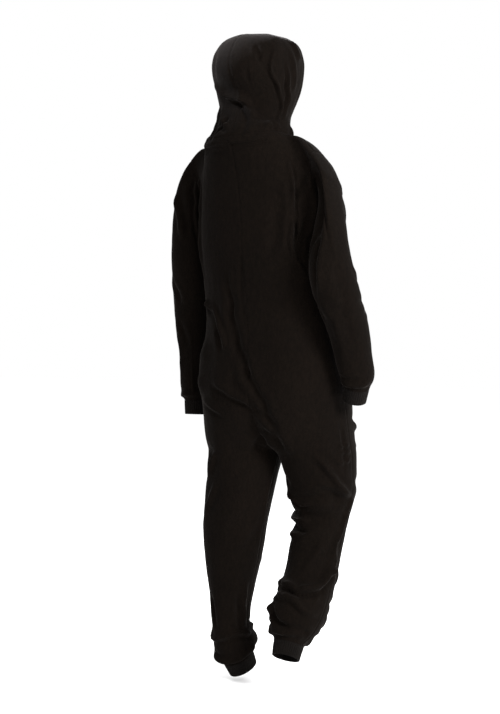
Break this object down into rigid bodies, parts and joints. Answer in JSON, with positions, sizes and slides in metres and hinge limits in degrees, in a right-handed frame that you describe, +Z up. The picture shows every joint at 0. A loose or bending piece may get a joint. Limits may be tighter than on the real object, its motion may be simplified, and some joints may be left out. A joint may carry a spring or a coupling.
{
  "type": "onesie pajama",
  "caption": "Hooded fleece onesie with long sleeves, full legs, ribbed wrist and ankle cuffs and a front zip, kept in the hollow shape of a standing figure.",
  "frame": {"origin": "middle of the neck base, in the opening that the hood is sewn round", "axes": "+Z up along the standing body, the front faces -Y, the garment's own left side is +X"},
  "size_m": [0.6238, 0.3611, 1.6886],
  "materials": {
    "fleece": "matte, brushed nap",
    "rib_knit": "matte rib knit",
    "zip_tape": "matte woven",
    "zip_chain": "matte",
    "zip_metal": "satin"
  },
  "bodies": {
    "onesie": {"back_left": "fleece", "front_left": "fleece", "back_right": "fleece", "front_right": "fleece", "sleeve_left": "fleece", "sleeve_right": "fleece", "hood_left": "fleece", "hood_right": "fleece", "wrist_cuff_left": "rib_knit", "wrist_cuff_right": "rib_knit", "ankle_cuff_left": "rib_knit", "ankle_cuff_right": "rib_knit", "zip_tape": "zip_tape", "zip_chain": "zip_chain", "zip_slider": "zip_metal"},
    "pull_tab": {"zip_pull": "zip_metal"}
  },
  "joints": [
    {"name": "pull_tab_hinge", "type": "hinge", "parent": "onesie", "child": "pull_tab", "pos_m": [0.0058, -0.12204, -0.06082], "axis": [-0.9903, 0.0522, 0.1285], "range_deg": [0, 150]}
  ]
}
